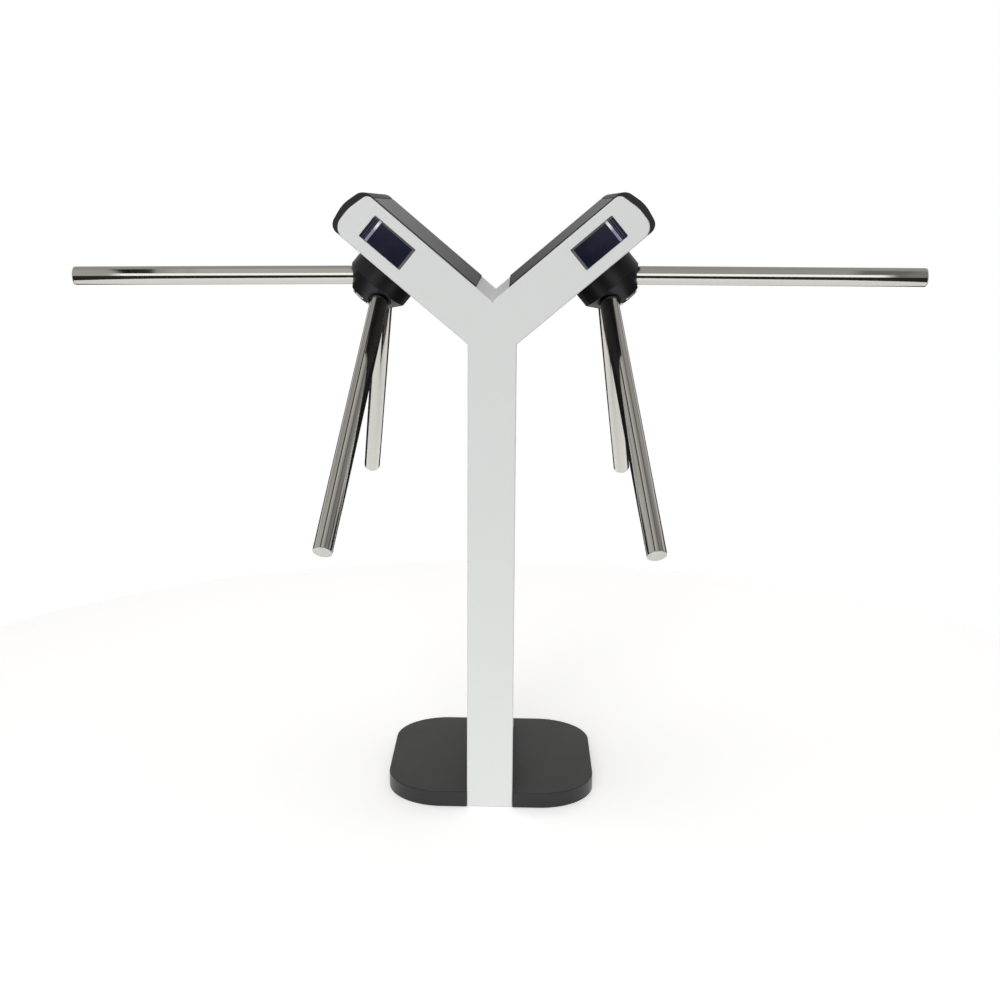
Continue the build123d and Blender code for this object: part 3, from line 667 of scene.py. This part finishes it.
def add_block(bm, lows, highs, matrix, bevel=0.0):
    """Add a box with softened edges, given by its corners in the matrix's frame."""
    centre = [(low + high) / 2 for low, high in zip(lows, highs)]
    size = [high - low for low, high in zip(lows, highs)]
    place = matrix @ Matrix.Translation(centre) @ Matrix.Diagonal((*size, 1))
    made = bmesh.ops.create_cube(bm, size=1.0, matrix=place, calc_uvs=True)
    if bevel:
        edges = list({edge for vert in made["verts"] for edge in vert.link_edges})
        bmesh.ops.bevel(bm, geom=edges, offset=bevel, segments=2, affect="EDGES", profile=0.7)


def add_piece(name, source, material, body, stands_for=(), smooth=28):
    """Turn a bmesh into a finished piece that rides on a body; several finishes go by face index."""
    bmesh.ops.recalc_face_normals(source, faces=source.faces)
    mesh = bpy.data.meshes.new(name)
    source.to_mesh(mesh)
    source.free()
    for one in material if isinstance(material, tuple) else (material,):
        mesh.materials.append(one)
    mesh.shade_smooth()
    mesh.set_sharp_from_angle(angle=math.radians(smooth))
    piece = bpy.data.objects.new(name, mesh)
    bpy.context.scene.collection.objects.link(piece)
    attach(piece, body)
    if stands_for:
        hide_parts(*stands_for)
    return piece


# ------------------------------------------------------------------ bars, plugs, gaskets, caps
def bar_place(sign, azimuth):
    """Which bar this is: side, front or back."""
    direction = bar_frame(sign, azimuth).to_3x3() @ Vector((0, 0, 1))
    if abs(direction.y) < 0.01:
        return "side"
    return "front" if direction.y < 0 else "back"


TUBE_END = BAR_LENGTH - PLUG_FLANGE
TUBE_PROFILE = (
    (BAR_RADIUS - BAR_WALL, BAR_START), (BAR_RADIUS, BAR_START), (BAR_RADIUS, 0.2), (BAR_RADIUS, 0.4),
    (BAR_RADIUS, TUBE_END - 0.7 * MM), (BAR_RADIUS - 0.2 * MM, TUBE_END - 0.2 * MM),
    (BAR_RADIUS - 0.7 * MM, TUBE_END), (BAR_RADIUS - BAR_WALL, TUBE_END),
)
PLUG_PROFILE = tuple((radius * MM, TUBE_END + height * MM) for radius, height in (
    (0, -14), (13.8, -14), (14.4, -13), (14.4, 0.3), (15.3, 0.35), (15.6, 0.65), (15.6, 1.2), (15.35, 1.55),
    (14.9, 1.7), (14.5, 1.62), (14.2, 1.66), (13.6, 1.74), (10, 1.86), (5, 1.95), (0, 2.0)))
GASKET_PROFILE = tuple((radius * MM, SOCKET_FACE + height * MM) for radius, height in (
    (16.05, -6), (19.6, -6), (19.6, -4.3), (19.2, -3.7), (18.4, -3.4), (17.2, -3.4), (16.4, -3.7),
    (16.05, -4.2)))
CAP_PROFILE = tuple((radius * MM, -height * MM) for radius, height in (
    (0, 71), (27, 71), (27, 73.5), (26.8, 74.2), (26.2, 74.6), (25.4, 74.75), (24.6, 74.7), (24.4, 74.4),
    (23.9, 74.4), (23.7, 74.72), (18, 74.88), (10, 74.97), (0, 75)))

for side, sign in SIDES.items():
    rotor = f"{side}_rotor"
    plugs = bmesh.new()
    gaskets = bmesh.new()
    for azimuth in BAR_AZIMUTHS:
        place = bar_frame(sign, azimuth)
        where = bar_place(sign, azimuth)
        tube = bmesh.new()
        turn_shape(tube, TUBE_PROFILE, place, 128, closed=True)
        add_piece(f"{side}_tube_{where}", tube, tube_polish, rotor, (f"{side}_bar_{where}",))
        turn_shape(plugs, PLUG_PROFILE, place, 72)
        turn_shape(gaskets, GASKET_PROFILE, place, 72, closed=True)
    add_piece(f"{side}_tube_plugs", plugs, plug_plastic, rotor, (f"{side}_bar_plugs",), 35)
    add_piece(f"{side}_socket_gaskets", gaskets, soft_rubber, rotor, (), 50)
    nose = bmesh.new()
    turn_shape(nose, CAP_PROFILE, hub_frame(sign), 128)
    hub_axis = hub_frame(sign).to_3x3() @ Vector((0, 0, 1))
    nose_chrome = turned_metal(f"{side}_nose_chrome", (0.82, 0.81, 0.79), 0.07, hub_frame(sign).translation,
                               hub_axis, 900.0, 0.000001)
    add_piece(f"{side}_nose_cap", nose, nose_chrome, rotor, (f"{side}_hub_cap",), 40)


# ------------------------------------------------------------------ display lenses
def lens_height(x, y):
    """Depth of the lens face: sloped at its lower end and upper side, with two grooves and a slot."""
    lower_end = LENS_LENGTH / 2 + x
    upper_side = LENS_HEIGHT / 2 - y
    others = min(LENS_LENGTH / 2 - x, LENS_HEIGHT / 2 + y)
    drop = max(1 - lower_end / LENS_END_SLOPE, 1 - upper_side / LENS_SIDE_SLOPE, 1 - others / LENS_CHAMFER, 0)
    if any(abs(x - groove) < GROOVE_REACH - 0.01 * MM for groove in GROOVES):
        drop = max(drop, 0.75)
    slot_edge = LIGHT_WIDTH / 2
    if abs(x - LIGHT_OFFSET) < slot_edge - 0.01 * MM:
        drop = 1.6
    return -LENS_DROP * drop


def lens_mesh(sign):
    """The lens as a grid of faces; face index 1 is its lower slope, 2 its upper side and 3 its grooves, and
    each of these takes a painted-light finish.
    """
    half_length = LENS_LENGTH / 2
    half_height = LENS_HEIGHT / 2
    across = [-half_length, LENS_END_SLOPE - half_length, half_length - LENS_CHAMFER, half_length]
    edges = [LIGHT_OFFSET - LIGHT_WIDTH / 2, LIGHT_OFFSET + LIGHT_WIDTH / 2]
    for groove in GROOVES:
        edges += [groove - GROOVE_REACH, groove + GROOVE_REACH]
    for edge in edges:
        across += [edge - EDGE_STEP, edge + EDGE_STEP]
    across = sorted(across)
    upward = [-half_height, LENS_CHAMFER - half_height, half_height - LENS_SIDE_SLOPE, half_height]
    bm = bmesh.new()
    place = lens_frame(sign, LENS_FRONT)
    grid = [[bm.verts.new(place @ Vector((x, sign * y, lens_height(x, y)))) for y in upward] for x in across]
    back = [[bm.verts.new(place @ Vector((x, sign * y, LENS_BACK))) for y in upward] for x in across]
    columns, rows = len(across), len(upward)
    for i in range(columns - 1):
        for j in range(rows - 1):
            top = bm.faces.new((grid[i][j], grid[i + 1][j], grid[i + 1][j + 1], grid[i][j + 1]))
            middle = (across[i] + across[i + 1]) / 2
            if j == rows - 2:
                top.material_index = 2
            elif i == 0:
                top.material_index = 1
            elif any(abs(middle - groove) < GROOVE_REACH for groove in GROOVES):
                top.material_index = 3
            bm.faces.new((back[i][j], back[i][j + 1], back[i + 1][j + 1], back[i + 1][j]))
    rim = [(i, 0) for i in range(columns)] + [(columns - 1, j) for j in range(1, rows)]
    rim += [(i, rows - 1) for i in range(columns - 2, -1, -1)] + [(0, j) for j in range(rows - 2, 0, -1)]
    for (i, j), (m, n) in zip(rim, rim[1:] + rim[:1]):
        bm.faces.new((grid[i][j], back[i][j], back[m][n], grid[m][n]))
    return bm


for side, sign in SIDES.items():
    stands = ("display_windows",) if side == "left" else ()
    # Face indices 1 to 3 take the painted-light finishes: painted lighter grey on the lower slope, olive on
    # the upper side, blue in the grooves.
    add_piece(f"{side}_counter_lens", lens_mesh(sign),
              (window_smoked, lens_slope_painted_light, lens_side_painted_light, lens_groove_painted_highlight), "pillar", stands, 10)


# ------------------------------------------------------------------ repeated hardware
def pattern_tree(name, shape):
    """Geometry Nodes that repeat one object on a ring or a row of points."""
    tree = bpy.data.node_groups.new(name, "GeometryNodeTree")
    tree.is_modifier = True
    fields = [("Piece", "NodeSocketObject"), ("Count", "NodeSocketInt"), ("Reach", "NodeSocketFloat"),
              ("First Angle", "NodeSocketFloat"), ("Finish", "NodeSocketMaterial")]
    for label, kind in fields:
        tree.interface.new_socket(label, in_out="INPUT", socket_type=kind)
    tree.interface.new_socket("Geometry", in_out="OUTPUT", socket_type="NodeSocketGeometry")
    start = tree.nodes.new("NodeGroupInput").outputs
    end = tree.nodes.new("NodeGroupOutput").inputs
    copy = tree.nodes.new("GeometryNodeObjectInfo")
    wire(tree, start["Piece"], copy.inputs["Object"])
    if shape == "ring":
        points = tree.nodes.new("GeometryNodeMeshCircle")
        wire(tree, start["Count"], points.inputs["Vertices"])
        wire(tree, start["Reach"], points.inputs["Radius"])
    else:
        points = tree.nodes.new("GeometryNodeMeshLine")
        points.mode = "OFFSET"
        offset = tree.nodes.new("ShaderNodeCombineXYZ")
        wire(tree, start["Reach"], offset.inputs["X"])
        wire(tree, start["Count"], points.inputs["Count"])
        wire(tree, offset.outputs[0], points.inputs["Offset"])
    swing = tree.nodes.new("ShaderNodeCombineXYZ")
    wire(tree, start["First Angle"], swing.inputs["Z"])
    turned = tree.nodes.new("GeometryNodeTransform")
    wire(tree, points.outputs["Mesh"], turned.inputs["Geometry"])
    wire(tree, swing.outputs[0], turned.inputs["Rotation"])
    instances = tree.nodes.new("GeometryNodeInstanceOnPoints")
    wire(tree, turned.outputs["Geometry"], instances.inputs["Points"])
    wire(tree, copy.outputs["Geometry"], instances.inputs["Instance"])
    real = tree.nodes.new("GeometryNodeRealizeInstances")
    wire(tree, instances.outputs["Instances"], real.inputs["Geometry"])
    finish = tree.nodes.new("GeometryNodeSetMaterial")
    wire(tree, real.outputs["Geometry"], finish.inputs["Geometry"])
    wire(tree, start["Finish"], finish.inputs["Material"])
    wire(tree, finish.outputs["Geometry"], end["Geometry"])
    return tree


ring_pattern = pattern_tree("ring_of_pieces", "ring")
row_pattern = pattern_tree("row_of_pieces", "row")


def repeat(tree, piece, matrix, finish, count, reach, first_angle=0.0):
    """The pattern's result as a plain mesh, moved to its place."""
    host = bpy.data.objects.new("pattern_host", bpy.data.meshes.new("pattern_host"))
    bpy.context.scene.collection.objects.link(host)
    modifier = host.modifiers.new("pattern", "NODES")
    modifier.node_group = tree
    values = {"Piece": piece, "Count": count, "Reach": float(reach), "First Angle": float(first_angle),
              "Finish": finish}
    for item in tree.interface.items_tree:
        if item.in_out == "INPUT":
            modifier[item.identifier] = values[item.name]
    graph = bpy.context.evaluated_depsgraph_get()
    mesh = bpy.data.meshes.new_from_object(host.evaluated_get(graph))
    mesh.transform(matrix)
    bpy.data.objects.remove(host)
    return mesh


def joined(meshes):
    """Several meshes as one bmesh."""
    bm = bmesh.new()
    for mesh in meshes:
        bm.from_mesh(mesh)
        bpy.data.meshes.remove(mesh)
    return bm


def pattern_source(name, bm):
    """A hidden original for a pattern."""
    bmesh.ops.recalc_face_normals(bm, faces=bm.faces)
    mesh = bpy.data.meshes.new(name)
    bm.to_mesh(mesh)
    bm.free()
    return bpy.data.objects.new(name, mesh)


def socket_screw(head_radius, head_height, shank_radius, shank_length, key):
    """A cap screw standing on its head's underside, with a hexagon socket in its top."""
    bm = bmesh.new()
    soft = 0.4 * MM
    turn_shape(bm, ((0, -shank_length), (shank_radius - soft, -shank_length),
                    (shank_radius, soft - shank_length), (shank_radius, 0), (head_radius, 0),
                    (head_radius, head_height - soft), (head_radius - soft, head_height),
                    (key * 1.25, head_height), (key, head_height - 0.3 * MM, 1),
                    (key, head_height * 0.45, 1), (0, head_height * 0.4)), turns=24)
    return bm


housing_screw = pattern_source("housing_screw", socket_screw(5 * MM, 4 * MM, 2.9 * MM, 13.5 * MM, 2.5 * MM))
chassis_screw = pattern_source("chassis_screw", socket_screw(6.5 * MM, 7 * MM, 3.9 * MM, 15.5 * MM, 3 * MM))
fasteners = []
for sign in SIDES.values():
    place = hub_frame(sign)
    flange = place @ Matrix.Translation((0, 0, HOUSING_FLANGE_TOP))
    fasteners.append(repeat(ring_pattern, housing_screw, flange, screw_steel, 4, HOUSING_BOLT_CIRCLE,
                            math.radians(45)))
    for outward in (-1, 1):
        face = place @ placed((-CHASSIS_SCREW_REACH, outward * GUSSET_OUTER, CHASSIS_SCREW_HEIGHT),
                              (1, 0, 0), (0, outward, 0))
        fasteners.append(repeat(row_pattern, chassis_screw, face, screw_steel, 2, 2 * CHASSIS_SCREW_REACH))
add_piece("mechanism_fasteners", joined(fasteners), screw_steel, "pillar", ("mechanism_screws",), 30)

foot_screw_shape = bmesh.new()
turn_shape(foot_screw_shape, tuple((radius * MM, height * MM, *key) for radius, height, *key in (
    (0, -24), (5.6, -24), (6, -23.6), (6, -6), (11.3, -0.7), (11.3, -0.5), (6.0, -0.5), (4.6, -0.7, 1),
    (4.6, -4.5, 1), (0, -4.6))), turns=24)
foot_screw = pattern_source("foot_screw", foot_screw_shape)
under_base = placed((0, 0, 0), (1, 0, 0), (0, 0, -1))
foot_rows = []
for depth in FOOT_SCREW_DEPTHS:
    row = under_base @ Matrix.Translation((-FOOT_SCREW_REACH, depth * MM, 0))
    foot_rows.append(repeat(row_pattern, foot_screw, row, screw_steel, 2, 2 * FOOT_SCREW_REACH))
add_piece("foot_fasteners", joined(foot_rows), screw_steel, "pillar", ("base_screws",), 30)

# ------------------------------------------------------------------ control boards
pin_shape = bmesh.new()
add_block(pin_shape, (-0.25 * MM, 0, 0), (0.25 * MM, 1.4 * MM, 0.25 * MM), Matrix())
add_block(pin_shape, (-0.25 * MM, -0.25 * MM, 0), (0.25 * MM, 0, 1.1 * MM), Matrix())
chip_pin = pattern_source("chip_pin", pin_shape)
plates, packages, terminals, pins = bmesh.new(), bmesh.new(), bmesh.new(), []
stud = pattern_source("board_stud", socket_screw(3 * MM, 1.6 * MM, 2.9 * MM, 9.4 * MM, 1.4 * MM))
CAPACITOR_PROFILE = tuple((radius * MM, height * MM) for radius, height in (
    (0, 0), (4, 0), (4, 1.2), (3.7, 1.6), (4, 2), (4, 10.6), (3.6, 11), (3.2, 10.8), (0, 10.8)))
for sign in SIDES.values():
    place = hub_frame(sign)
    add_block(plates, (-152 * MM, -70 * MM, 24 * MM), (-104 * MM, 70 * MM, BOARD_TOP), place, 0.3 * MM)
    add_block(packages, (CHIP_EDGES[1] * MM, -20 * MM, BOARD_TOP), (CHIP_EDGES[0] * MM, 8 * MM, CHIP_TOP),
              place, 0.3 * MM)
    for low in (-60, -46):
        add_block(packages, (-128 * MM, low * MM, BOARD_TOP),
                  (-112 * MM, (low + 12) * MM, RELAY_TOP), place, 0.5 * MM)
    for depth in (-12, 18, 46):
        spot = place @ Matrix.Translation((-142 * MM, depth * MM, BOARD_TOP))
        turn_shape(packages, CAPACITOR_PROFILE, spot, 32)
    for step in range(6):
        low = 24 + step * 5.3
        add_block(terminals, (-130 * MM, low * MM, BOARD_TOP),
                  (-112 * MM, (low + 5) * MM, TERMINAL_TOP), place, 0.5 * MM)
    for edge, outward in zip(CHIP_EDGES, (1, -1)):
        row = place @ placed((edge * MM, (-18 if outward > 0 else 6) * MM, BOARD_TOP),
                             (0, outward, 0), (0, 0, 1))
        row = row @ Matrix.Rotation(math.pi, 4, "Z") @ Matrix.Translation((-24 * MM, 0, 0))
        pins.append(repeat(row_pattern, chip_pin, row, race_steel, PIN_COUNT, PIN_PITCH))
    for x in (-148, -108):
        for y in (-66, 66):
            spot = place @ Matrix.Translation((x * MM, y * MM, BOARD_TOP))
            pins.append(repeat(ring_pattern, stud, spot, screw_steel, 1, 0.0))
add_piece("board_plates", plates, board_laminate, "pillar", ("control_boards",), 30)
add_piece("board_packages", packages, relay_plastic, "pillar", (), 30)
add_piece("board_terminals", terminals, terminal_plastic, "pillar", (), 30)
add_piece("board_pins_and_studs", joined(pins), race_steel, "pillar", (), 30)


# ------------------------------------------------------------------ camera, light and floor
def add_camera():
    data = bpy.data.cameras.new("camera")
    data.lens = CAMERA_LENS
    data.shift_x, data.shift_y = CAMERA_SHIFT
    camera = bpy.data.objects.new("camera", data)
    camera.location = CAMERA_PLACE
    camera.rotation_euler = (math.pi / 2 - CAMERA_DOWN, 0, CAMERA_TURN)
    bpy.context.scene.collection.objects.link(camera)
    bpy.context.scene.camera = camera


def add_light(name, place, target, size, power, colour=(1, 1, 1)):
    """A soft box that lights the object without showing in its gloss."""
    data = bpy.data.lights.new(name, "AREA")
    data.shape = "RECTANGLE"
    data.size, data.size_y = size
    data.energy = power
    data.color = colour
    lamp = bpy.data.objects.new(name, data)
    lamp.location = place
    lamp.rotation_euler = (Vector(target) - Vector(place)).to_track_quat("-Z", "Y").to_euler()
    lamp.visible_glossy = False
    bpy.context.scene.collection.objects.link(lamp)


def add_room():
    """A studio to reflect: a wall behind that brightens upwards, a soft box in front, a banded ceiling."""
    world = bpy.data.worlds.new("studio")
    bpy.context.scene.world = world
    world.use_nodes = True
    tree = world.node_tree
    direction = tree.nodes.new("ShaderNodeTexCoord").outputs["Generated"]
    parts = tree.nodes.new("ShaderNodeSeparateXYZ")
    wire(tree, direction, parts.inputs[0])
    x, y, z = parts.outputs
    ceiling = tree.nodes.new("ShaderNodeValToRGB")
    wire(tree, spread(tree, x, -1.0, 1.0), ceiling.inputs[0])
    stops = ((-1.0, 0.62), (-0.46, 0.48), (-0.42, 0.012), (-0.29, 0.012), (-0.25, 0.62), (0.0, 0.60),
             (0.06, 0.46), (0.28, 0.44), (0.34, 0.20), (0.50, 0.20), (0.56, 0.28), (0.85, 0.28), (0.91, 0.08),
             (0.95, 0.10), (1.0, 0.85))
    ramp = ceiling.color_ramp.elements
    for place, value in stops[1:-1]:
        ramp.new((place + 1) / 2)
    for element, (place, value) in zip(ramp, stops):
        element.color = (value, value * 0.985, value * 0.94, 1)
    behind = spread(tree, y, -0.15, 0.1, smooth=True)
    overhead = mix_colour(tree, behind, ceiling.outputs["Color"], (0.42, 0.41, 0.39))
    horizon_glow = spread(tree, z, 0.01, 0.26, 0.0, 0.78)
    wall_colour = mix_colour(tree, horizon_glow, (0.0, 0.0, 0.0), (1.0, 1.0, 1.0))
    wall = math_node(tree, "MULTIPLY", behind, spread(tree, z, 0.26, 0.42, 1.0, 0.0, smooth=True))
    box_top = spread(tree, z, 0.38, 0.48, 1.0, 0.0, smooth=True)
    box_side = spread(tree, math_node(tree, "ABSOLUTE", x), 0.42, 0.5, 1.0, 0.0, smooth=True)
    box = math_node(tree, "MULTIPLY", math_node(tree, "MULTIPLY", box_top, box_side),
                    math_node(tree, "SUBTRACT", 1.0, behind))
    light = mix_colour(tree, wall, overhead, wall_colour)
    light = mix_colour(tree, box, light, (1.5, 1.5, 1.48))
    light = mix_colour(tree, spread(tree, z, -0.03, 0.0, 1.0, 0.0), light, (0.03, 0.028, 0.025))
    seen = tree.nodes.new("ShaderNodeLightPath").outputs["Is Camera Ray"]
    background = tree.nodes["Background"]
    wire(tree, mix_colour(tree, seen, light, (1.0, 1.0, 1.0)), background.inputs["Color"])
    background.inputs["Strength"].default_value = 1.0


def add_floor():
    mesh = bpy.data.meshes.new("floor")
    reach = 1.5
    corners = [(reach * math.cos(k * math.pi / 48), reach * math.sin(k * math.pi / 48), 0) for k in range(96)]
    mesh.from_pydata(corners, [], [tuple(range(96))])
    floor = bpy.data.objects.new("floor", mesh)
    bpy.context.scene.collection.objects.link(floor)
    material, tree, shader = start_finish("floor_white", Roughness=0.9)
    shader["Base Color"].default_value = (0.92, 0.92, 0.915, 1)
    shader["Emission Color"].default_value = (1, 1, 1, 1)
    shader["Emission Strength"].default_value = 0.31
    mesh.materials.append(material)


add_camera()
add_room()
add_floor()
add_light("front_soft", (-0.5, -3.2, 2.0), (0, 0, 1.0), (2.6, 1.8), 62)
add_light("top_soft", (0, 0.1, 3.2), (0, 0, 0.6), (2.6, 2.6), 15)
add_light("back_soft", (0.8, 2.8, 2.4), (0, 0, 0.6), (2.0, 1.6), 18)
bpy.context.scene.view_settings.view_transform = "Standard"
